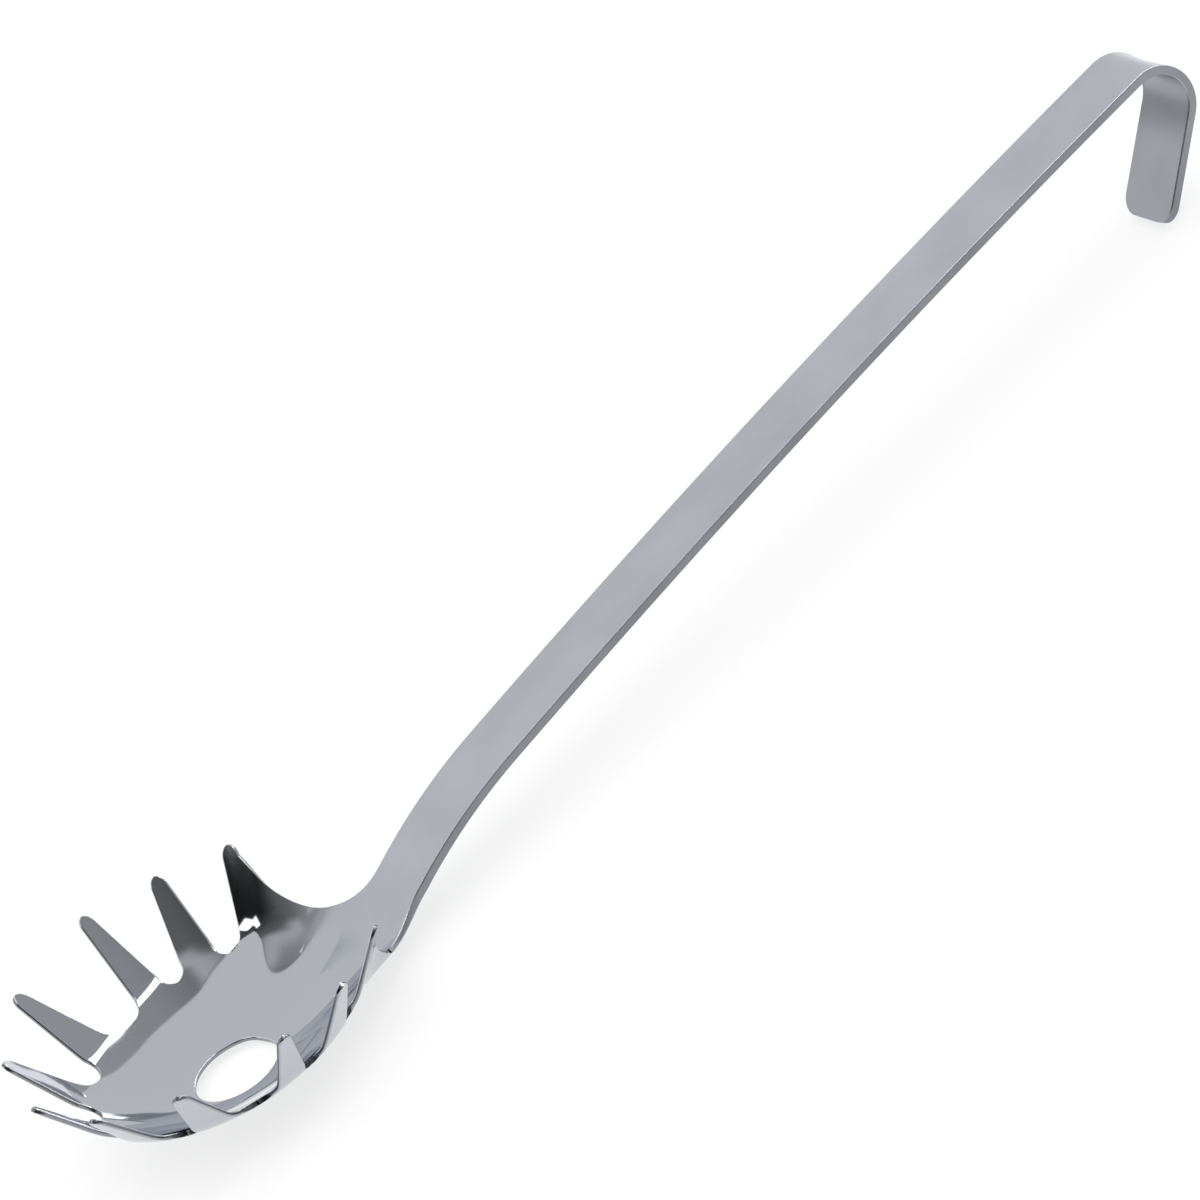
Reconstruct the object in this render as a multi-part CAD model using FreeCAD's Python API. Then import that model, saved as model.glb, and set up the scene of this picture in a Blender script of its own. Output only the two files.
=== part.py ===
import FreeCAD, Part
import math
import os
from FreeCAD import Vector

# One-piece pasta server pressed from flat stainless strap: a hooked handle, a neck that thins and
# widens into a round dish with a drain hole, and eleven tines turned up round the rim of the dish.
# It is one blank in steel; the solids below are its regions, cut face to face along the forming lines.
# Lengths in millimetres, angles in degrees. Modelled about the dish axis, +X towards the hook.

# Strap, handle and hook
strap_width = 20.0
strap_thickness = 2.5
handle_length = 231.0
handle_bow_radius = 2750.0
handle_tilt = 6.5
hook_inner_radius = 8.8
hook_bend = 137.4
hook_tail = 28.4
tail_corner_radius = 5.0

# Dish and drain hole
rim_radius = 36.6
dish_depth = 12.4
dish_power = 2.2
dish_forward = 4.5
front_stretch = 1.06
sheet_thickness = 1.25
drain_radius = 11.0
drain_forward = 2.8

# Tines: one in the middle of the front and five pairs, numbered from the front
front_root_width = 8.6
front_tip_width = 4.6
front_tip_radius = 48.9
pair_azimuths = (27.7, 55.4, 87.2, 110.0, 133.0)
pair_root_widths = (8.8, 9.6, 7.6, 9.0, 5.6)
pair_tip_widths = (4.6, 5.0, 4.2, 4.6, 4.6)
pair_tip_radii = (49.6, 50.7, 50.9, 49.6, 49.6)
tip_circle_radius = 49.6
tip_height = 29.2
root_bend_length = 4.4
gap_radius = 33.2
gap_round = 3.6
tip_round = 1.9
root_land = 0.7

# Neck: dished at the rim, flat strap at its end, then a shank that bends back to the handle
neck_reach = 57.0
neck_slope = 26.5
neck_rise = 13.8
shank_radius = 141.0
shoulder_x = 34.4
shoulder_y = 25.9
shoulder_mid_x = 41.8
shoulder_mid_y = 16.1
shoulder_end_x = 55.0
neck_split = 25.0
trough_inner = 9.4
trough_outer = 40.0
flare_start = 24.0
flare_full = 42.0
thin_start = 38.0

grid_step = 3.2
overrun = 6.0


def ease(value, start, end):
    share = min(max((value - start) / (end - start), 0), 1)
    return share * share * (3 - share - share)


def polar(radius, azimuth):
    turn = math.radians(azimuth)
    return Vector(-radius * math.cos(turn), radius * math.sin(turn), 0)


# Pressed sheet: the height of its top face over the plan, a dish with a trough out to the neck
back_radius = (neck_rise + neck_rise) / math.tan(math.radians(neck_slope)) ** 2
back_start = neck_reach - back_radius * math.tan(math.radians(neck_slope))


def dish_reach(x, y):
    return math.hypot(x if x > 0 else x / front_stretch, y)


def dish_share(x, y):
    out = (x if x > 0 else x / front_stretch) + dish_forward
    square = out * out + y * y
    shift = dish_forward * out
    room = rim_radius * rim_radius - dish_forward * dish_forward
    return square / (shift + math.sqrt(shift * shift + room * square)) if square > 0 else 0


def dish_height(x, y):
    share = dish_share(x, y)
    wall = dish_depth * (share ** dish_power if share < 1 else 1 + dish_power * (share - 1))
    along = max(x - back_start, 0)
    trough = 1 - ease(math.degrees(math.atan2(abs(y), x + dish_forward)), trough_inner, trough_outer)
    return wall + trough * (along * along / (back_radius + back_radius) - wall)


def sheet_height(x, y):
    base = dish_height(x, y)
    reach = dish_reach(x, y)
    past = reach - rim_radius + root_bend_length / 2
    if past <= 0:
        return base
    run = past * past / (root_bend_length + root_bend_length) if past < root_bend_length else reach - rim_radius
    outward = tip_circle_radius / math.hypot(x, y)
    rise = tip_height - dish_height(x * outward, y * outward)
    kick = rise / (reach * outward - rim_radius)
    off_neck = math.degrees(math.atan2(abs(y), x))
    return base + run * kick * ease(off_neck, flare_start, flare_full)


def sheet_point(x, y, depth_share):
    step = grid_step / 100
    slope_x = (sheet_height(x + step, y) - sheet_height(x - step, y)) / (step + step)
    slope_y = (sheet_height(x, y + step) - sheet_height(x, y - step)) / (step + step)
    normal = Vector(-slope_x, -slope_y, 1).normalize()
    thickness = sheet_thickness + (strap_thickness - sheet_thickness) * ease(x, thin_start, neck_reach)
    return Vector(x, y, sheet_height(x, y)) - normal * (thickness * depth_share)


def sheet_face(depth_share):
    count_x = int(round((sheet_end - sheet_front) / grid_step))
    count_y = int(round(sheet_half / grid_step))
    xs = [sheet_front + (sheet_end - sheet_front) * i / count_x for i in range(count_x + 1)]
    ys = [sheet_half * j / count_y for j in range(-count_y, count_y + 1)]
    surface = Part.BSplineSurface()
    surface.interpolate([[sheet_point(x, y, depth_share) for y in ys] for x in xs])
    return surface.toShape()


azimuths = (0,) + pair_azimuths
root_widths = (front_root_width,) + pair_root_widths
tip_widths = (front_tip_width,) + pair_tip_widths
tip_radii = (front_tip_radius,) + pair_tip_radii
sheet_front = -(max(tip_radii) + overrun)
sheet_end = neck_reach + overrun
sheet_half = max(tip_radii) + overrun
top_face = sheet_face(0)
under_face = sheet_face(1)
walls = [Part.makeRuledSurface(a, b) for a, b in zip(top_face.Edges, under_face.Edges)]
shell = Part.makeShell([top_face, under_face] + walls)
shell.sewShape()
sheet = Part.makeSolid(shell)
if sheet.Volume < 0:
    sheet.reverse()

# Cutters stand along the dish axis and pass right through the sheet
floor_level = -(strap_thickness + overrun)
cut_height = tip_height + tip_height + overrun


def prism(edges):
    face = Part.Face(Part.Wire(edges))
    face.translate(Vector(0, 0, floor_level))
    return face.extrude(Vector(0, 0, cut_height))


def cylinder(radius, x):
    return Part.makeCylinder(radius, cut_height, Vector(x, 0, floor_level), Vector(0, 0, 1))


def line(a, b):
    return Part.LineSegment(a, b).toShape()


def arc(a, b, c):
    return Part.Arc(a, b, c).toShape()


# Dish: the sheet inside the rim circle, with the round drain hole
rim = cylinder(gap_radius - root_land, 0)
bowl = sheet.common(rim).cut(cylinder(drain_radius, -drain_forward))


# Tines: straight tapered sides, round tips, and half of the round gap bottom on each side
def rim_point(radius, azimuth):
    point = polar(radius, azimuth)
    return Vector(point.x * (front_stretch if point.x < 0 else 1), point.y, 0)


def side_azimuth(azimuth, width, radius, side):
    return azimuth + side * math.degrees(width / 2 / radius)


def gap_quarter(azimuth, width, gap_azimuth, side):
    shoulder = gap_radius + gap_round
    edge = side_azimuth(azimuth, width, shoulder, side)
    diagonal = math.sqrt(1 / 2)
    turn = gap_azimuth + (edge - gap_azimuth) * diagonal
    middle = rim_point(gap_radius + gap_round * (1 - diagonal), turn)
    return rim_point(gap_radius, gap_azimuth), middle, rim_point(shoulder, edge)


def tine_outline(azimuth, root_width, tip_width, tip_radius, gap_before, gap_after):
    inner = gap_radius - overrun
    low, low_mid, low_side = gap_quarter(azimuth, root_width, gap_before, -1)
    high, high_mid, high_side = gap_quarter(azimuth, root_width, gap_after, 1)
    tip_start = polar(tip_radius - tip_round, side_azimuth(azimuth, tip_width, tip_radius, -1))
    tip_end = polar(tip_radius - tip_round, side_azimuth(azimuth, tip_width, tip_radius, 1))
    return [
        line(rim_point(inner, gap_before), low),
        arc(low, low_mid, low_side),
        line(low_side, tip_start),
        arc(tip_start, polar(tip_radius, azimuth), tip_end),
        line(tip_end, high_side),
        arc(high_side, high_mid, high),
        line(high, rim_point(inner, gap_after)),
        line(rim_point(inner, gap_after), rim_point(inner, gap_before)),
    ]


def rear_tine_outline(azimuth, root_width, tip_width, tip_radius, gap_before):
    inner = gap_radius - overrun
    low, low_mid, low_side = gap_quarter(azimuth, root_width, gap_before, -1)
    tip_start = polar(tip_radius - tip_round, side_azimuth(azimuth, tip_width, tip_radius, -1))
    middle = Vector(shoulder_end_x, 0, 0)
    return [
        line(rim_point(inner, gap_before), low),
        arc(low, low_mid, low_side),
        line(low_side, tip_start),
        arc(tip_start, polar(tip_radius, azimuth), rear_tip_end),
        shoulder(1),
        line(Vector(shoulder_end_x, strap_width / 2, 0), middle),
        line(middle, rim_point(inner, gap_before)),
    ]


def middle_azimuth(a, a_width, b, b_width):
    a_edge = side_azimuth(a, a_width, gap_radius + gap_round, 1)
    b_edge = side_azimuth(b, b_width, gap_radius + gap_round, -1)
    return (a_edge + b_edge) / 2


# Shoulder: one hollow curve from the tip of the rear tine down to the straight side of the strap,
# which it meets without a corner
rear_edge = side_azimuth(azimuths[-1], tip_widths[-1], tip_radii[-1], 1)
rear_tip_end = polar(tip_radii[-1] - tip_round, rear_edge)


def shoulder(side):
    points = [
        rear_tip_end,
        Vector(shoulder_x, shoulder_y, 0),
        Vector(shoulder_mid_x, shoulder_mid_y, 0),
        Vector(shoulder_end_x, strap_width / 2, 0),
    ]
    points = [Vector(point.x, point.y * side, 0) for point in points]
    curve = Part.BSplineCurve()
    curve.interpolate(Points=points, InitialTangent=points[1] - points[0], FinalTangent=Vector(1, 0, 0))
    return curve.toShape()


gaps = [
    middle_azimuth(azimuths[i], root_widths[i], azimuths[i + 1], root_widths[i + 1])
    for i in range(len(azimuths) - 1)
]
band = sheet.cut(rim)
nodes = {"bowl": bowl}
outline = tine_outline(0, front_root_width, front_tip_width, front_tip_radius, -gaps[0], gaps[0])
nodes["tine_front"] = band.common(prism(outline))

wedge = prism([
    line(Vector(0, 0, 0), polar(neck_reach + neck_reach, 180 - neck_split)),
    line(polar(neck_reach + neck_reach, 180 - neck_split), polar(neck_reach + neck_reach, 180 + neck_split)),
    line(polar(neck_reach + neck_reach, 180 + neck_split), Vector(0, 0, 0)),
])
for i in range(1, len(azimuths)):
    if i < len(azimuths) - 1:
        outline = tine_outline(azimuths[i], root_widths[i], tip_widths[i], tip_radii[i], gaps[i - 1], gaps[i])
        tine = band.common(prism(outline))
    else:
        outline = rear_tine_outline(azimuths[i], root_widths[i], tip_widths[i], tip_radii[i], gaps[i - 1])
        tine = band.common(prism(outline)).cut(wedge)
    nodes["tine_right_%d" % i] = tine
    nodes["tine_left_%d" % i] = tine.mirror(Vector(0, 0, 0), Vector(0, 1, 0))

# Neck: the sheet from the rim to the flat strap, with a hollow shoulder down to it on each side
half = strap_width / 2
end_x = neck_reach + overrun
mouth_y = rear_tip_end.y
neck_plan = prism([
    line(Vector(0, -mouth_y, 0), Vector(0, mouth_y, 0)),
    line(Vector(0, mouth_y, 0), rear_tip_end),
    shoulder(1),
    line(Vector(shoulder_end_x, half, 0), Vector(end_x, half, 0)),
    line(Vector(end_x, half, 0), Vector(end_x, -half, 0)),
    line(Vector(end_x, -half, 0), Vector(shoulder_end_x, -half, 0)),
    shoulder(-1),
    line(Vector(rear_tip_end.x, -mouth_y, 0), Vector(0, -mouth_y, 0)),
])
neck_end = Vector(neck_reach, 0, neck_rise)


def heading(slope):
    turn = math.radians(slope)
    return Vector(math.cos(turn), 0, math.sin(turn))


def upright(slope):
    turn = math.radians(slope)
    return Vector(-math.sin(turn), 0, math.cos(turn))


def section(point, slope):
    side = Vector(0, half, 0)
    down = upright(slope) * -strap_thickness
    return Part.Face(Part.makePolygon([
        point - side, point + side, point + side + down, point - side + down, point - side,
    ]))


beyond = Part.makeBox(cut_height, strap_width + strap_width, cut_height + cut_height)
beyond.translate(Vector(0, -strap_width, -cut_height))
beyond.rotate(Vector(0, 0, 0), Vector(0, 1, 0), -neck_slope)
beyond.translate(neck_end)
nodes["neck"] = band.common(neck_plan).common(wedge).cut(beyond)

# Shank and handle: the strap carried round two gentle bends
sideways = Vector(0, 1, 0)
handle_turn = math.degrees(handle_length / handle_bow_radius)
handle_slope = handle_tilt + handle_turn
shank_axis = neck_end - upright(neck_slope) * shank_radius
shank_turn = neck_slope - handle_slope
nodes["shank"] = section(neck_end, neck_slope).revolve(shank_axis, sideways, shank_turn)
handle_start = shank_axis + upright(handle_slope) * shank_radius
handle_axis = handle_start - upright(handle_slope) * handle_bow_radius
nodes["handle"] = section(handle_start, handle_slope).revolve(handle_axis, sideways, handle_turn)

# Hook: the strap turned over and back under the handle, then a straight tail with round corners
bend_start = handle_axis + upright(handle_tilt) * handle_bow_radius
bend_axis = bend_start - upright(handle_tilt) * (hook_inner_radius + strap_thickness)
nodes["hook_bend"] = section(bend_start, handle_tilt).revolve(bend_axis, sideways, hook_bend)
tail_slope = handle_tilt - hook_bend
tail_start = bend_axis + upright(tail_slope) * (hook_inner_radius + strap_thickness)
tail = section(tail_start, tail_slope).extrude(heading(tail_slope) * hook_tail)
tail_end = tail_start + heading(tail_slope) * hook_tail
corners = [
    edge for edge in tail.Edges
    if abs(edge.Length - strap_thickness) < strap_thickness / 100
    and (edge.CenterOfMass - tail_end).Length < strap_width
]
nodes["hook_tail"] = tail.makeFillet(tail_corner_radius, corners)

# Stand it as it lies on a table, on the back of the dish and the end of the tail
tail_foot = tail_end - upright(tail_slope) * strap_thickness
tail_low = tail_end if tail_end.z < tail_foot.z else tail_foot
to_tail = tail_low - Vector(back_start, 0, back_radius)
reach = math.hypot(to_tail.x, to_tail.z)
rest_tilt = math.degrees(math.asin((back_radius + sheet_thickness) / reach) + math.atan2(to_tail.z, to_tail.x))
for name in nodes:
    nodes[name].rotate(Vector(0, 0, 0), sideways, rest_tilt)
whole = Part.makeCompound(list(nodes.values())).optimalBoundingBox(False)
settle = Vector(-whole.Center.x, 0, -whole.ZMin)

os.makedirs("parts", exist_ok=True)
for name in nodes:
    node = nodes[name]
    if len(node.Solids) == 1:
        node = node.Solids[0]
    node.translate(settle)
    node.exportStep("parts/" + name + ".step")
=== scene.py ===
import math
import bpy
import numpy as np
from mathutils import Matrix


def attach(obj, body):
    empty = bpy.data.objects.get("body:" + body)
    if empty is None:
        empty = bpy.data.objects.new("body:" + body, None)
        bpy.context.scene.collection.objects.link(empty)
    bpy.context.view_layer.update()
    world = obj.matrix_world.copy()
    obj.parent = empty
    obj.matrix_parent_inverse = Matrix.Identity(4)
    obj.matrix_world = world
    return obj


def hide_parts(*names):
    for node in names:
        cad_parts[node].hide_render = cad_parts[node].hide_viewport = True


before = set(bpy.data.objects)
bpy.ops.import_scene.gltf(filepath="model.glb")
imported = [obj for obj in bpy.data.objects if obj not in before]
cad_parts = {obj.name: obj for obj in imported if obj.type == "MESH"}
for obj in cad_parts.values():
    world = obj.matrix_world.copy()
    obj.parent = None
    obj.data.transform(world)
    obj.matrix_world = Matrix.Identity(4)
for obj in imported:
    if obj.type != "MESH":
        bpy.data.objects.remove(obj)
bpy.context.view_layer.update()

# Dish of the head: stainless sheet pressed into a shallow round bowl, lowest a little in front of its
# middle, with a round drain hole punched through the floor. The inside is mirror polished, and the
# punched edge of the hole is left duller and darkened with painted shade. Sizes in millimetres, about
# the dish axis, +X to the hook.
rim_radius = 36.6
dish_depth = 12.4
dish_power = 2.2
dish_forward = 4.5
front_stretch = 1.06
sheet_thickness = 1.25
strap_thickness = 2.5
drain_radius = 11.0
drain_forward = 2.8
tip_circle_radius = 49.6
tip_height = 29.2
root_bend_length = 4.4
gap_radius = 33.2
root_land = 0.7
neck_reach = 57.0
neck_slope = 26.5
neck_rise = 13.8
trough_inner = 9.4
trough_outer = 40.0
flare_start = 24.0
flare_full = 42.0
thin_start = 38.0
edge_round = 0.45
rest_tilt = math.radians(4.261232)
settle = np.array([-144.494278, 0, 1.695561])
back_radius = 2 * neck_rise / math.tan(math.radians(neck_slope)) ** 2
back_start = neck_reach - back_radius * math.tan(math.radians(neck_slope))


def ease(value, start, end):
    """Smooth step: 0 below start, 1 above end, 3s^2 - 2s^3 of the share s between."""
    share = np.clip((value - start) / (end - start), 0, 1)
    return share * share * (3 - 2 * share)


def dish_height(x, y):
    """Height of the bowl: depth times share^power, where share runs from 0 at the lowest point to 1 at
    the rim along each ray; towards the neck it turns into a trough along^2 / (2 back_radius)."""
    out = np.where(x > 0, x, x / front_stretch) + dish_forward
    square = out ** 2 + y ** 2
    shift = dish_forward * out
    room = rim_radius ** 2 - dish_forward ** 2
    share = square / (shift + np.sqrt(shift ** 2 + room * square) + 1e-9)
    wall = dish_depth * np.where(share < 1, share ** dish_power, 1 + dish_power * (share - 1))
    along = np.maximum(x - back_start, 0)
    bearing = np.degrees(np.arctan2(np.abs(y), x + dish_forward))
    trough = 1 - ease(bearing, trough_inner, trough_outer)
    return wall + trough * (along ** 2 / (2 * back_radius) - wall)


def sheet_height(x, y):
    """Bowl height, plus beyond the rim a rounded bend and then a straight slope that brings the sheet to
    the tip height on the tip circle; the slope fades out towards the neck."""
    reach = np.hypot(np.where(x > 0, x, x / front_stretch), y)
    past = np.maximum(reach - rim_radius + root_bend_length / 2, 0)
    run = np.where(past < root_bend_length, past ** 2 / (2 * root_bend_length), reach - rim_radius)
    outward = tip_circle_radius / np.hypot(x, y)
    rise = tip_height - dish_height(x * outward, y * outward)
    kick = rise / (reach * outward - rim_radius)
    bearing = np.degrees(np.arctan2(np.abs(y), x))
    return dish_height(x, y) + run * kick * ease(bearing, flare_start, flare_full)


def sheet_gauge(x):
    """Thickness of the sheet: thin in the head, growing by a smooth step to the strap's along the neck."""
    return sheet_thickness + (strap_thickness - sheet_thickness) * ease(x, thin_start, neck_reach)


def sheet_place(x, y):
    """Top point, unit normal and thickness of the sheet over the plan point x, y."""
    step = 0.02
    slope_x = (sheet_height(x + step, y) - sheet_height(x - step, y)) / (2 * step)
    slope_y = (sheet_height(x, y + step) - sheet_height(x, y - step)) / (2 * step)
    normal = np.stack([-slope_x, -slope_y, np.ones_like(x)], -1)
    normal /= np.linalg.norm(normal, axis=-1, keepdims=True)
    return np.stack([x, y, sheet_height(x, y)], -1), normal, sheet_gauge(x)


def at_rest(vectors):
    """Turns directions from the dish axis to the server's rest on the table, about +Y."""
    x, y, z = np.moveaxis(vectors, -1, 0)
    cos, sin = math.cos(rest_tilt), math.sin(rest_tilt)
    return np.stack([cos * x + sin * z, y, cos * z - sin * x], -1)


face_columns = 25
arris_columns = 4
cut_columns = 5
side_columns = 2 * arris_columns + cut_columns
under_start = face_columns + side_columns
widest_round = 0.45
# Upper arrises: below zero, so a painted highlight brightens their colour and lowers their roughness.
arris_painted_highlight = -0.5
# Cut edges: duller, and darker from painted shade in the colour.
cut_dullness_and_shade = 1.0
# Under arrises and under face: a little duller, and darker from painted shade in the colour.
under_arris_dullness_and_shade = 0.6
under_dullness_and_shade = 0.35


def section_loop(width, thickness, round_low, round_high):
    """Closed outline of the sheet's cross-section: shares across (0 to 1) and down (0 to 1), and how much
    duller each point is, which also darkens its colour with painted shade: cut edges most, the under face
    a little; the upper arrises go below zero for a painted highlight. Top face, rounded high side, under
    face, rounded low side."""
    flat = np.linspace(0, 1, face_columns)
    turn = np.linspace(0, math.pi / 2, arris_columns + 2)[1:-1]
    low = np.minimum(round_low / width, widest_round)[:, None]
    high = np.minimum(round_high / width, widest_round)[:, None]
    low_down = (np.minimum(round_low, thickness * widest_round) / thickness)[:, None]
    high_down = (np.minimum(round_high, thickness * widest_round) / thickness)[:, None]
    face = low + (1 - low - high) * flat
    side = np.linspace(0, 1, cut_columns)
    across = np.concatenate([
        face,
        1 - high + high * np.sin(turn),
        np.ones_like(high) * np.ones(cut_columns),
        1 - high + high * np.cos(turn),
        face[:, ::-1],
        low - low * np.sin(turn),
        np.zeros_like(low) * np.ones(cut_columns),
        low - low * np.cos(turn),
    ], 1)
    down = np.concatenate([
        0 * face,
        high_down * (1 - np.cos(turn)),
        high_down + (1 - 2 * high_down) * side,
        1 - high_down * (1 - np.sin(turn)),
        0 * face + 1,
        1 - low_down * (1 - np.cos(turn)),
        1 - low_down - (1 - 2 * low_down) * side,
        low_down * (1 - np.sin(turn)),
    ], 1)
    edge = np.concatenate([
        np.full(arris_columns - 1, arris_painted_highlight),
        np.full(cut_columns + 2, cut_dullness_and_shade),
        np.full(arris_columns - 1, under_arris_dullness_and_shade),
    ])
    dull_and_painted_light = np.concatenate([np.zeros(face_columns), edge, np.full(face_columns, under_dullness_and_shade), edge[::-1]])
    return across, down, dull_and_painted_light


def grid_normals(points, faces, closed):
    """Normals from the grid itself, cross product of its two directions, with the exact normal of the
    sheet kept where one is given: first block of columns the top face, third block the under face. The
    second value says whether the rows run the wrong way round and have to be turned."""
    if closed:
        along = np.roll(points, -1, 0) - np.roll(points, 1, 0)
    else:
        along = np.diff(points, axis=0, append=2 * points[-1:] - points[-2:-1])
    around = np.roll(points, -1, 1) - np.roll(points, 1, 1)
    normals = np.cross(around, along)
    centre = face_columns // 2
    flip = np.sign((normals[:, centre] * faces[:, centre]).sum(-1))[:, None, None]
    normals *= flip / (np.linalg.norm(normals, axis=-1, keepdims=True) + 1e-12)
    under = slice(under_start, under_start + face_columns)
    normals[:, :face_columns] = faces[:, :face_columns]
    normals[:, under] = -faces[:, under]
    return normals, flip[0, 0, 0] < 0


def skin(name, points, faces, dullness_and_painted_light, closed, slot):
    """Makes the piece from a grid of cross-sections, rows along it and columns round each section, and the
    normal of the sheet at each point. Rows close on themselves or end in flat caps, made of a strip of
    quads from the top face to the under face and one face for each rounded side. Every corner keeps the
    normal worked out for its point."""
    rows, columns = points.shape[:2]
    normals, backwards = grid_normals(points, faces, closed)
    dullness_and_painted_light = np.broadcast_to(dullness_and_painted_light, (rows, columns))
    if backwards:
        points, normals, dullness_and_painted_light = points[::-1], normals[::-1], dullness_and_painted_light[::-1]
    index = np.arange(rows * columns).reshape(rows, columns)
    ahead = np.roll(index, -1, 0) if closed else index[1:]
    here = index if closed else index[:-1]
    quads = np.stack([here, np.roll(here, -1, 1), np.roll(ahead, -1, 1), ahead], -1).reshape(-1, 4)
    corners = [quads.ravel()]
    corner_normals = [normals.reshape(-1, 3)[quads.ravel()]]
    counts = [np.full(len(quads), 4)]
    for end in (() if closed else (0, -1)):
        out = points[end].mean(0) - points[1 if end == 0 else -2].mean(0)
        over = index[end, :face_columns]
        under = index[end, under_start:under_start + face_columns][::-1]
        cap = np.concatenate([
            np.stack([over[:-1], over[1:], under[1:], under[:-1]], -1).ravel(),
            index[end, face_columns - 1:under_start + 1],
            index[end, under_start + face_columns - 1:],
            index[end, :1],
        ])
        counts += [np.concatenate([np.full(face_columns - 1, 4), np.full(2, side_columns + 2)])]
        if end == 0:
            cap = cap[::-1]
            counts[-1] = counts[-1][::-1]
        corners += [cap]
        corner_normals += [np.tile(out / np.linalg.norm(out), (len(cap), 1))]
    corners = np.concatenate(corners)
    counts = np.concatenate(counts)
    starts = np.cumsum(counts) - counts
    mesh = bpy.data.meshes.new(name)
    mesh.vertices.add(rows * columns)
    mesh.vertices.foreach_set("co", (at_rest(points) + settle).ravel() / 1000)
    mesh.loops.add(len(corners))
    mesh.loops.foreach_set("vertex_index", corners)
    mesh.polygons.add(len(starts))
    mesh.polygons.foreach_set("loop_start", starts)
    mesh.polygons.foreach_set("use_smooth", np.ones(len(starts), bool))
    mesh.update(calc_edges=True)
    # Dullness of each point: a rougher finish, and painted shade in the colour (a painted highlight where it
    # is below zero).
    mesh.attributes.new("dullness_and_painted_light", "FLOAT", "POINT").data.foreach_set("value", dullness_and_painted_light.ravel())
    mesh.normals_split_custom_set(at_rest(np.concatenate(corner_normals)))
    finish = "_polished" if slot == "polished_steel" else "_satin"
    piece = bpy.data.objects.new(name + finish, mesh)
    bpy.context.scene.collection.objects.link(piece)
    piece.data.materials.append(steel)
    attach(piece, "root")
    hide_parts(name)


def sheet_piece(name, x, y, down, dullness_and_painted_light, closed, slot):
    """A piece of the pressed sheet: each point of its sections lies below the top surface, along the normal,
    by its share down of the thickness there."""
    top, normal, thickness = sheet_place(x, y)
    skin(name, top - normal * (thickness * down)[..., None], normal, dullness_and_painted_light, closed, slot)


class Value:
    """A socket of a shader. Sums, differences and products of values add Math nodes."""

    def __init__(self, tree, socket):
        self.tree = tree
        self.socket = socket

    def node(self, kind, settings, inputs, output=0):
        """Adds a node with its settings first, then the numbers or links of its sockets."""
        made = self.tree.nodes.new(kind)
        for key, value in settings.items():
            setattr(made, key, value)
        for key, value in inputs.items():
            if isinstance(value, Value):
                self.tree.links.new(value.socket, made.inputs[key])
            else:
                made.inputs[key].default_value = value
        return Value(self.tree, made.outputs[output])

    def maths(self, operation, first, second):
        """Adds one Math node for an operator."""
        return self.node("ShaderNodeMath", {"operation": operation}, {0: first, 1: second})

    def __add__(self, other):
        return self.maths("ADD", self, other)

    def __radd__(self, other):
        return self.maths("ADD", other, self)

    def __sub__(self, other):
        return self.maths("SUBTRACT", self, other)

    def __rsub__(self, other):
        return self.maths("SUBTRACT", other, self)

    def __mul__(self, other):
        return self.maths("MULTIPLY", self, other)

    def __rmul__(self, other):
        return self.maths("MULTIPLY", other, self)

    def step(self, start, end, low=0.0, high=1.0):
        """Smooth step from low to high as the value goes from start to end."""
        return self.node(
            "ShaderNodeMapRange",
            {"interpolation_type": "SMOOTHSTEP"},
            {"Value": self, "From Min": start, "From Max": end, "To Min": low, "To Max": high},
        )


# The steel itself: mirror polish with a slight ripple in the head, going over to a cloudy satin along the
# neck, with cut edges and under faces duller and darkened with painted shade, and their upper arrises
# brightened with a painted highlight.
mirror_roughness = 0.06
satin_roughness = 0.31
cut_roughness = 0.14
# How strongly dullness darkens the colour: painted shade, and a painted highlight where dullness is below
# zero.
painted_light_strength = 0.55
steel_tint = (0.632, 0.656, 0.705)
satin_start = -0.118
satin_full = -0.094
grain_roughness = 0.012
cloud_roughness = 0.06
cloud_shade = 0.3
grain_height = 0.005
ripple_height = 3.0
steel = bpy.data.materials.new("stainless_steel")
steel.use_nodes = True
shader = steel.node_tree.nodes["Principled BSDF"]
shader.inputs["Metallic"].default_value = 1.0
place = Value(steel.node_tree, steel.node_tree.nodes.new("ShaderNodeTexCoord").outputs["Object"])
along_x = place.node("ShaderNodeSeparateXYZ", {}, {0: place}, "X")
satin = along_x.step(satin_start, satin_full)
dull_and_painted_light = place.node("ShaderNodeAttribute", {"attribute_name": "dullness_and_painted_light"}, {}, "Fac")
stretched = place.node("ShaderNodeVectorMath", {"operation": "MULTIPLY"}, {0: place, 1: (0.35, 1.0, 1.0)})
grain = place.node("ShaderNodeTexNoise", {}, {"Vector": stretched, "Scale": 1500.0, "Detail": 3.0}, "Fac")
cloud = place.node("ShaderNodeTexNoise", {}, {"Vector": place, "Scale": 45.0, "Detail": 3.0}, "Fac")
ripple = place.node("ShaderNodeTexNoise", {}, {"Vector": place, "Scale": 60.0, "Detail": 1.0}, "Fac")
roughness = mirror_roughness + satin * (satin_roughness - mirror_roughness) + dull_and_painted_light * cut_roughness
roughness = roughness + satin * (grain - 0.5) * grain_roughness + satin * (cloud - 0.5) * cloud_roughness
# Colour: painted shade on the duller places, a painted highlight on the upper arrises, and the satin's cloudy
# tone.
bright = 1 - dull_and_painted_light * painted_light_strength + satin * (cloud - 0.5) * cloud_shade
tint = place.node("ShaderNodeVectorMath", {"operation": "SCALE"}, {0: steel_tint, "Scale": bright})
height = satin * grain * grain_height + ripple * ripple_height
bump = place.node("ShaderNodeBump", {}, {"Strength": 1.0, "Distance": 0.0001, "Height": height})
steel.node_tree.links.new(tint.socket, shader.inputs["Base Color"])
steel.node_tree.links.new(roughness.socket, shader.inputs["Roughness"])
steel.node_tree.links.new(bump.socket, shader.inputs["Normal"])

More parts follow.
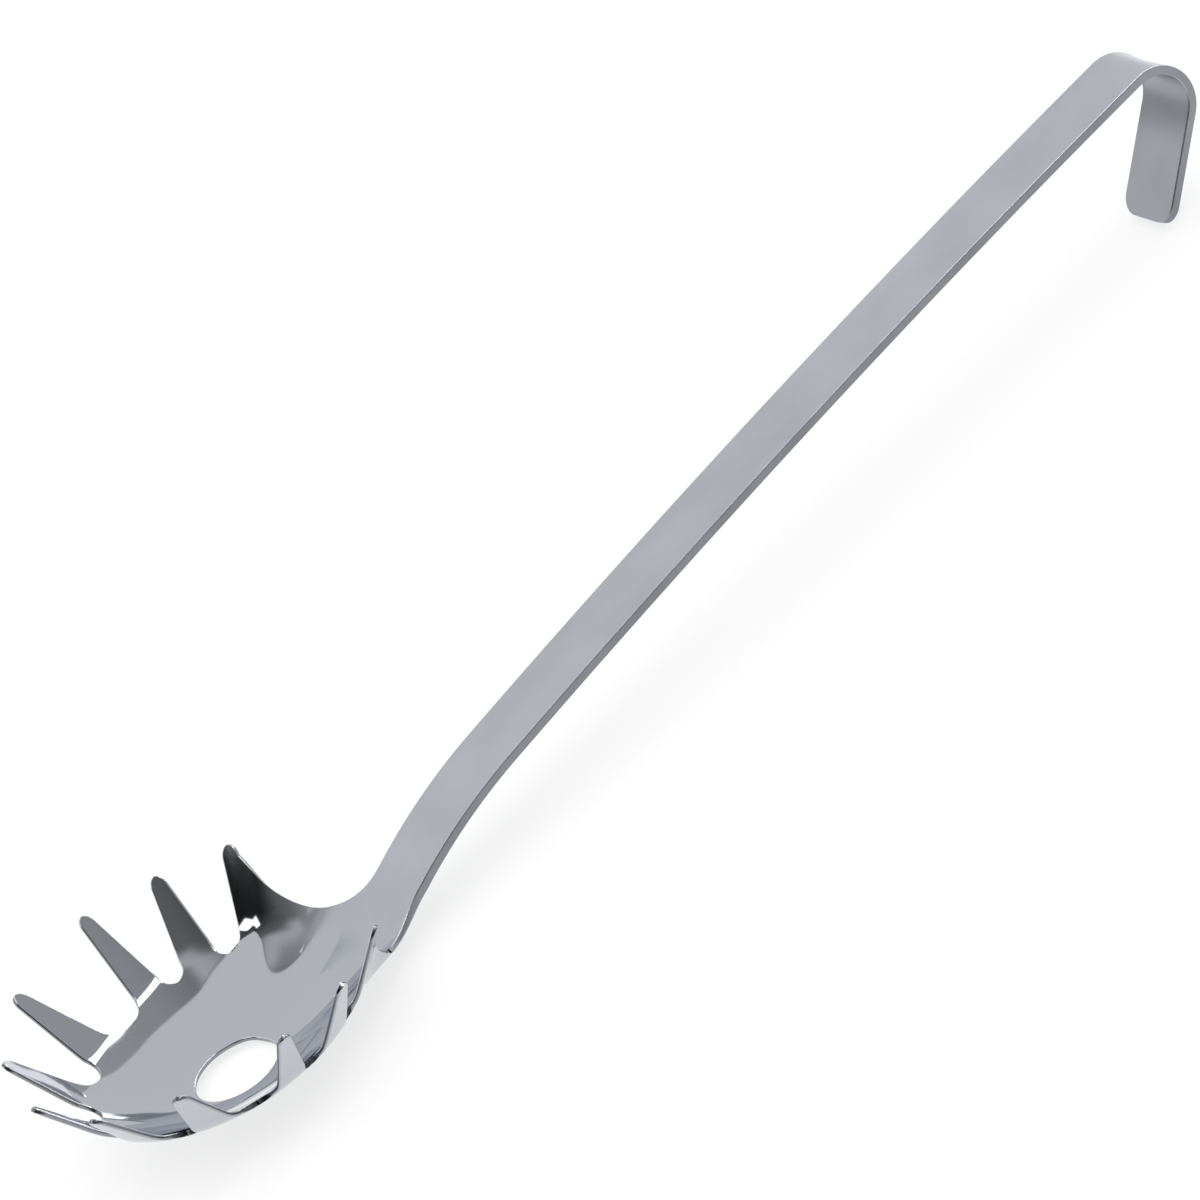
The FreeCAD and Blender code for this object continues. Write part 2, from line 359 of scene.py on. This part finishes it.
bowl_rows = 240
turn = np.linspace(0, 2 * math.pi, bowl_rows + 1)[:-1]
hole = np.stack([drain_radius * np.cos(turn) - drain_forward, drain_radius * np.sin(turn)], -1)
rim = (gap_radius - root_land) * np.stack([np.cos(turn), np.sin(turn)], -1)
width = np.linalg.norm(rim - hole, axis=-1)
across, down, dullness_and_painted_light = section_loop(
    width, np.full(bowl_rows, sheet_thickness), np.full(bowl_rows, edge_round), np.zeros(bowl_rows)
)
plan = hole[:, None] + (rim - hole)[:, None] * across[..., None]
sheet_piece("bowl", plan[..., 0], plan[..., 1], down, dullness_and_painted_light, True, "polished_steel")

# Tines: eleven tapered fingers of the same sheet, left standing when the gaps are blanked out and bent
# up round the rim. One is in the middle of the front, the others are five pairs numbered from the
# front. Round tips, round gap bottoms, lightly broken edges; polished like the dish.
azimuths = (0, 27.7, 55.4, 87.2, 110.0, 133.0)
root_widths = (8.6, 8.8, 9.6, 7.6, 9.0, 5.6)
tip_widths = (4.6, 4.6, 5.0, 4.2, 4.6, 4.6)
tip_radii = (48.9, 49.6, 50.7, 50.9, 49.6, 49.6)
rear = len(azimuths) - 1
gap_round = 3.6
tip_round = 1.9
neck_split = 25.0
shoulder_points = ((34.4, 25.9), (41.8, 16.1), (55.0, 10.0))
join_rows = 4
gap_rows = 17
taper_rows = 28
tip_rows = 20
shoulder_rows = 400


def on_plan(radius, azimuth):
    """Plan point at a radius and an azimuth in degrees from the front."""
    angle = np.radians(azimuth)
    return np.stack([-radius * np.cos(angle), radius * np.sin(angle)], -1)


def at_rim(radius, azimuth):
    """The same, drawn out towards the front as the dish is."""
    point = on_plan(radius, azimuth)
    return point * np.stack([np.where(point[..., 0] < 0, front_stretch, 1), np.ones_like(point[..., 0])], -1)


def side_azimuth(azimuth, across, radius, side):
    """Azimuth of one side of a tine: half its width as an arc at that radius, to side +1 or -1."""
    return azimuth + side * math.degrees(across / 2 / radius)


def circle_through(a, b, c, count):
    """Points along the circle through three plan points, from the first past the second to the third."""
    a, b, c = (complex(*p) for p in (a, b, c))
    w = (c - a) / (b - a)
    centre = (b - a) * (w - abs(w) ** 2) / (2j * w.imag) + a
    start, sweep = np.angle(a - centre), np.angle((c - centre) / (a - centre))
    if sweep * np.angle((b - centre) / (a - centre)) < 0:
        sweep -= math.copysign(2 * math.pi, sweep)
    angle = start + sweep * np.linspace(0, 1, count)
    circle = centre + abs(a - centre) * np.exp(1j * angle)
    return np.stack([circle.real, circle.imag], -1)


def straight(a, b, count):
    """Evenly spaced plan points from a to b, both ends included."""
    return a + (b - a) * np.linspace(0, 1, count)[:, None]


def through(points, end_heading, count):
    """Cubic spline through plan points, chord-length parameter. It leaves towards the second point and
    arrives along end_heading, at the speeds that the single cubic through the points has there."""
    points = np.array(points, float)
    knots = np.concatenate([[0], np.cumsum(np.linalg.norm(np.diff(points, axis=0), axis=1))])
    gaps = np.diff(knots)
    size = len(points)
    powers = np.arange(size)
    cubic = np.linalg.solve(knots[:, None] ** powers, points)
    speeds = np.linalg.norm((powers * knots[[0, -1], None] ** np.maximum(powers - 1, 0)) @ cubic, axis=1)
    leave = (points[1] - points[0]) / gaps[0] * speeds[0]
    arrive = np.array(end_heading) * speeds[1]
    chords = np.concatenate([[leave], np.diff(points, axis=0) / gaps[:, None], [arrive]])
    load = 6 * np.diff(chords, axis=0)
    padded = np.concatenate([[0], gaps, [0]])
    system = np.diag(2 * (padded[:-1] + padded[1:])) + np.diag(gaps, 1) + np.diag(gaps, -1)
    bend = np.linalg.solve(system, load)
    where = np.linspace(0, knots[-1], count)
    span = np.clip(np.searchsorted(knots, where, "right") - 1, 0, size - 2)
    before, after = (knots[span + 1] - where)[:, None], (where - knots[span])[:, None]
    step = gaps[span][:, None]
    return (
        bend[span] * before ** 3 / (6 * step) + bend[span + 1] * after ** 3 / (6 * step)
        + (points[span] / step - bend[span] * step / 6) * before
        + (points[span + 1] / step - bend[span + 1] * step / 6) * after
    )


def tip_half(azimuth, across, radius, side):
    """Half of the round tip, from where the straight side ends nearly to the apex."""
    start = on_plan(radius - tip_round, side_azimuth(azimuth, across, radius, side))
    other = on_plan(radius - tip_round, side_azimuth(azimuth, across, radius, -side))
    arc = circle_through(start, on_plan(radius, azimuth), other, 2 * tip_rows + 1)
    return arc[:tip_rows]


def tine_side(number, gap, side):
    """One side of a tine in plan from the dish to its tip: up the join with the next tine, a quarter of
    the round gap bottom, the straight taper, half of the tip."""
    azimuth, root, tip, radius = azimuths[number], root_widths[number], tip_widths[number], tip_radii[number]
    shoulder = gap_radius + gap_round
    edge = side_azimuth(azimuth, root, shoulder, side)
    middle = gap + (edge - gap) * math.sqrt(0.5)
    low = at_rim(gap_radius, gap)
    heading = at_rim(1.0, gap)
    start = heading / np.linalg.norm(heading) * (gap_radius - root_land)
    between = at_rim(gap_radius + gap_round * (1 - math.sqrt(0.5)), middle)
    quarter = circle_through(low, between, at_rim(shoulder, edge), gap_rows)
    end = tip_half(azimuth, tip, radius, side)
    join = straight(start, low, join_rows + 1)[:-1]
    taper = straight(quarter[-1], end[0], taper_rows + 2)[1:-1]
    return np.concatenate([join, quarter, taper, end])


def petal(name, low, high, round_low, round_high):
    """A piece of sheet between two side curves in plan, in polar steps across so that it starts on the
    rim circle, with its cross-section carried from root to tip."""
    low_polar = np.stack([np.hypot(*low.T), np.unwrap(np.arctan2(low[:, 1], -low[:, 0]))], -1)
    high_polar = np.stack([np.hypot(*high.T), np.unwrap(np.arctan2(high[:, 1], -high[:, 0]))], -1)
    wide = np.linalg.norm(high - low, axis=1)
    thick = np.full(len(low), sheet_thickness)
    across, down, dullness_and_painted_light = section_loop(wide, thick, round_low, round_high)
    polar = low_polar[:, None] + (high_polar - low_polar)[:, None] * across[..., None]
    x, y = -polar[..., 0] * np.cos(polar[..., 1]), polar[..., 0] * np.sin(polar[..., 1])
    sheet_piece(name, x, y, down, dullness_and_painted_light, False, "polished_steel")


gap_azimuths = [
    (side_azimuth(azimuths[i], root_widths[i], gap_radius + gap_round, 1)
     + side_azimuth(azimuths[i + 1], root_widths[i + 1], gap_radius + gap_round, -1)) / 2
    for i in range(rear)
]
open_edge = edge_round * np.concatenate([
    np.zeros(join_rows),
    ease(np.arange(gap_rows), 2, 12),
    np.ones(taper_rows + tip_rows),
])
front_high = tine_side(0, gap_azimuths[0], 1)
petal("tine_front", front_high * [1, -1], front_high, open_edge, open_edge)
for number in range(1, rear):
    low = tine_side(number, gap_azimuths[number - 1], -1)
    high = tine_side(number, gap_azimuths[number], 1)
    petal("tine_right_%d" % number, low, high, open_edge, open_edge)
    petal("tine_left_%d" % number, high * [1, -1], low * [1, -1], open_edge, open_edge)

rear_tip = tip_half(azimuths[rear], tip_widths[rear], tip_radii[rear], 1)
shoulder = through([rear_tip[0], *shoulder_points], (1, 0), shoulder_rows)
bearing = np.degrees(np.arctan2(shoulder[:, 1], shoulder[:, 0]))
split = np.argmax(bearing < neck_split)
rear_start = on_plan(gap_radius - root_land, 180 - neck_split)
outer_rows = gap_rows + taper_rows
outer = shoulder[:split + 1][::-1][np.linspace(0, split, outer_rows + 1).astype(int)]
low = tine_side(rear, gap_azimuths[rear - 1], -1)
high = np.concatenate([straight(rear_start, outer[0], join_rows + 1)[:-1], outer[:-1], rear_tip])
rear_round = edge_round * np.concatenate([
    np.zeros(join_rows),
    ease(np.arange(outer_rows), 0, 6),
    np.ones(tip_rows),
])
petal("tine_right_%d" % rear, low, high, open_edge, rear_round)
petal("tine_left_%d" % rear, high * [1, -1], low * [1, -1], rear_round, open_edge)

# Neck: the sheet runs on from the dish, draws in along a hollow shoulder on each side and thickens into
# the flat strap. Its finish goes over from the mirror polish of the head to the satin of the handle.
strap_width = 20.0
neck_join_rows = 8
neck_curve_rows = 40
neck_end_rows = 8
curve_picks = np.linspace(0, shoulder_rows - 1 - split, neck_curve_rows).astype(int)
neck_side = np.concatenate([
    straight(rear_start, shoulder[split], neck_join_rows + 1)[:-1],
    shoulder[split:][curve_picks],
    straight(np.array(shoulder_points[2]), np.array([neck_reach, strap_width / 2]), neck_end_rows + 1)[1:],
])
neck_round = edge_round * np.concatenate([
    np.zeros(neck_join_rows),
    ease(np.arange(neck_curve_rows), 0, 5),
    np.ones(neck_end_rows),
])
neck_blend = ease(np.arange(len(neck_side)), 0, neck_curve_rows)[:, None]
across, down, dullness_and_painted_light = section_loop(
    2 * neck_side[:, 1], sheet_gauge(neck_side[:, 0]), neck_round, neck_round
)
angle = np.arctan2(neck_side[:, 1], neck_side[:, 0])[:, None] * (2 * across - 1)
radius = np.hypot(*neck_side.T)[:, None]
x = radius * np.cos(angle) * (1 - neck_blend) + neck_side[:, :1] * neck_blend
y = radius * np.sin(angle) * (1 - neck_blend) + neck_side[:, 1:] * (2 * across - 1) * neck_blend
sheet_piece("neck", x, y, down, dullness_and_painted_light, False, "satin_steel")

# Handle: the flat strap, 20 by 2.5 mm with broken edges. A short shank bends back from the neck, then
# the grip runs straight but for a slight arch. Satin finish along its length.
handle_length = 231.0
handle_bow_radius = 2750.0
handle_tilt = 6.5
shank_radius = 141.0
strap_round = 0.45
shank_rows = 40
handle_rows = 80


def upright(slope):
    """Unit normal of the strap's top face where it climbs at that slope, in degrees."""
    return np.stack([-np.sin(np.radians(slope)), 0 * slope, np.cos(np.radians(slope))], -1)


def strap(name, centre, normal, half_width, inner_shade=0.0, saddle=0.0):
    """The strap's rounded oblong section carried along the line of its top face, with two amounts for each
    section: the first dulls the under face further and darkens it with painted shade, and saddle sinks
    the section by saddle (1 - share^2), share being 0 in its middle and 1 at its edges."""
    rows = len(centre)
    across, down, dullness_and_painted_light = section_loop(
        2 * half_width, np.full(rows, strap_thickness), np.full(rows, strap_round), np.full(rows, strap_round)
    )
    under_face = down > 0.99
    # Painted shade on the under face, added to its dullness.
    dullness_and_painted_light = dullness_and_painted_light + np.reshape(inner_shade, (-1, 1)) * under_face
    share = 2 * across - 1
    saddle = np.reshape(saddle, (-1, 1))
    depth = strap_thickness * down + saddle * (1 - share ** 2)
    points = centre[:, None] - normal[:, None] * depth[..., None]
    points[..., 1] += share * half_width[:, None]
    faces = np.repeat(normal[:, None], share.shape[1], 1)
    faces[..., 1] -= 2 * saddle * share / half_width[:, None]
    faces /= np.linalg.norm(faces, axis=-1, keepdims=True)
    skin(name, points, faces, dullness_and_painted_light, False, "satin_steel")


handle_slope = handle_tilt + math.degrees(handle_length / handle_bow_radius)
shank_axis = np.array([neck_reach, 0, neck_rise]) - upright(np.float64(neck_slope)) * shank_radius
slope = np.linspace(neck_slope, handle_slope, shank_rows)
shank_line = shank_axis + upright(slope) * shank_radius
strap("shank", shank_line, upright(slope), np.full(shank_rows, strap_width / 2))
handle_axis = shank_axis + upright(np.float64(handle_slope)) * (shank_radius - handle_bow_radius)
slope = np.linspace(handle_slope, handle_tilt, handle_rows)
handle_line = handle_axis + upright(slope) * handle_bow_radius
strap("handle", handle_line, upright(slope), np.full(handle_rows, strap_width / 2))

# Hook: the strap's end is bent over and back under the handle, and its straight tail is cut off with
# round corners. The bend leaves a slight saddle across the strap, and its inside is duller and
# darkened with painted shade. It hangs the server on a rail or on the rim of a pot.
hook_inner_radius = 8.8
hook_bend = 137.4
hook_tail = 28.4
tail_corner_radius = 5.0
# Painted shade inside the hook's bend, as extra dullness of its under face.
hook_inner_shade = 0.5
hook_saddle = 0.6
bend_rows = 90
tail_straight_rows = 15
tail_corner_rows = 24
bend_radius = hook_inner_radius + strap_thickness
bend_axis = handle_axis + upright(np.float64(handle_tilt)) * (handle_bow_radius - bend_radius)
slope = np.linspace(handle_tilt, handle_tilt - hook_bend, bend_rows)
# Painted shade inside the bend, growing in from its start.
inner_shade = hook_inner_shade * ease(np.arange(bend_rows), 9, 45)
saddle = hook_saddle * np.sin(np.linspace(0, math.pi, bend_rows)) ** 2
bend_line = bend_axis + upright(slope) * bend_radius
strap("hook_bend", bend_line, upright(slope), np.full(bend_rows, strap_width / 2), inner_shade, saddle)
tail_turn = np.linspace(0, math.pi / 2, tail_corner_rows)
tail_run = np.concatenate([
    np.linspace(0, hook_tail - tail_corner_radius, tail_straight_rows + 1)[:-1],
    hook_tail - tail_corner_radius * (1 - np.sin(tail_turn)),
])
tail_half = np.concatenate([
    np.full(tail_straight_rows, strap_width / 2),
    strap_width / 2 - tail_corner_radius * (1 - np.cos(tail_turn)),
])
tail_slope = np.float64(handle_tilt - hook_bend)
tail_heading = np.array([math.cos(math.radians(tail_slope)), 0, math.sin(math.radians(tail_slope))])
tail_start = bend_axis + upright(tail_slope) * bend_radius
tail_line = tail_start + tail_heading * tail_run[:, None]
tail_normal = np.broadcast_to(upright(tail_slope), tail_line.shape)
# Painted shade on the tail's under face, fading out along its first 10 mm.
inner_shade = hook_inner_shade * (1 - ease(tail_run, 0, 10))
strap("hook_tail", tail_line, tail_normal, tail_half, inner_shade)

# Studio: a white table, a soft lamp overhead for its shadow, and walls round it that show in the polish:
# a pale one beyond the server, darker ones on the near side that fall off to the left, with a lighter
# patch overhead, and a soft box on each side.
table_half = 6.0
table_drop = 0.0003
plain_share = 0.7
floor_mesh = bpy.data.meshes.new("table")
floor_corners = [(x * table_half, y * table_half, 0) for x, y in ((-1, -1), (1, -1), (1, 1), (-1, 1))]
floor_mesh.from_pydata(floor_corners, [], [(0, 1, 2, 3)])
floor = bpy.data.objects.new("table", floor_mesh)
floor.location.z = -table_drop
bpy.context.scene.collection.objects.link(floor)
white = bpy.data.materials.new("white_table")
white.use_nodes = True
matt_white = white.node_tree.nodes["Principled BSDF"]
matt_white.inputs["Base Color"].default_value = (0.9, 0.9, 0.9, 1)
matt_white.inputs["Roughness"].default_value = 0.9
matt_white.inputs["Specular IOR Level"].default_value = 0.0
ray = white.node_tree.nodes.new("ShaderNodeLightPath")
seen = Value(white.node_tree, ray.outputs["Is Camera Ray"])
seen = seen + Value(white.node_tree, ray.outputs["Is Glossy Ray"])
seen = seen + Value(white.node_tree, ray.outputs["Is Transmission Ray"])
matt = Value(white.node_tree, matt_white.outputs[0])
plain = seen.node("ShaderNodeEmission", {}, {"Color": (1, 1, 1, 1), "Strength": 1.0})
table_top = seen.node("ShaderNodeMixShader", {}, {0: seen * plain_share, 1: matt, 2: plain})
white.node_tree.links.new(table_top.socket, white.node_tree.nodes["Material Output"].inputs["Surface"])
floor_mesh.materials.append(white)

lamp = bpy.data.lights.new("overhead", "SUN")
lamp.energy = 2.35
lamp.angle = math.radians(170)
lamp_object = bpy.data.objects.new("overhead", lamp)
lamp_object.visible_glossy = False
bpy.context.scene.collection.objects.link(lamp_object)

world = bpy.data.worlds.new("studio")
world.use_nodes = True
bpy.context.scene.world = world
sky = Value(world.node_tree, world.node_tree.nodes.new("ShaderNodeTexCoord").outputs["Generated"])
sky_x = sky.node("ShaderNodeSeparateXYZ", {}, {0: sky}, "X")
sky_y = sky.node("ShaderNodeSeparateXYZ", {}, {0: sky}, "Y")
pale_wall = 0.68
dark_wall = 0.015
patch_glow = 0.3
right_glow = 3.0
left_glow = 2.0
# The pale wall's edge is level on the left and drawn back on the right.
beyond = (sky_y - 0.04 - sky_x.step(0.35, 1.3, 0.0, 0.68)).step(-0.012, 0.012)
# The near side is almost black on the left and mid grey on the right, with the lighter patch between.
sides = dark_wall + sky_x.step(-0.7, -0.2, 0.0, 0.13) + sky_x.step(-0.2, 0.4, 0.0, 0.19)
sides = sides + sky_x.step(0.4, 0.9, 0.0, 0.06)
patch = sky_x.step(-0.3, -0.08) * (1 - sky_x.step(-0.03, 0.09)) * sky_y.step(-0.62, -0.45)
sides = sides + patch_glow * patch * (1 - sky_y.step(0.0, 0.06))
# The soft boxes are a slanting band on the right and a small square on the left.
across_box = sky_y + 0.6 - 0.833 * sky_x
box_right = across_box.step(-0.13, -0.09) * (1 - across_box.step(0.05, 0.08)) * sky_x.step(0.18, 0.24)
box_left = sky_x.step(-0.69, -0.67) * (1 - sky_x.step(-0.54, -0.52)) * sky_y.step(-0.2, -0.18)
box_left = box_left * (1 - sky_y.step(-0.06, -0.045))
glow = sides * (1 - beyond) + beyond * pale_wall + right_glow * box_right + left_glow * box_left
background = world.node_tree.nodes["Background"]
world.node_tree.links.new(glow.socket, background.inputs["Strength"])
background.inputs["Color"].default_value = (0.985, 0.995, 1.0, 1)

# Camera at the photograph's place, to the left of the server and above it. Its lens and place come from a
# fit of the strap's edges, the hook and the tips of the tines.
camera = bpy.data.cameras.new("camera")
camera.sensor_width = 36.0
camera.lens = 204.332
camera_object = bpy.data.objects.new("camera", camera)
camera_object.matrix_world = Matrix((
    (0.7067023636, 0.6594767670, -0.2562462936, -0.4267345629),
    (-0.5137276491, 0.2292736084, -0.8267511809, -1.3534238409),
    (-0.4864726835, 0.7159078196, 0.5008196502, 0.8487562078),
    (0, 0, 0, 1),
))
bpy.context.scene.collection.objects.link(camera_object)
bpy.context.scene.camera = camera_object
bpy.context.scene.view_settings.view_transform = "Standard"
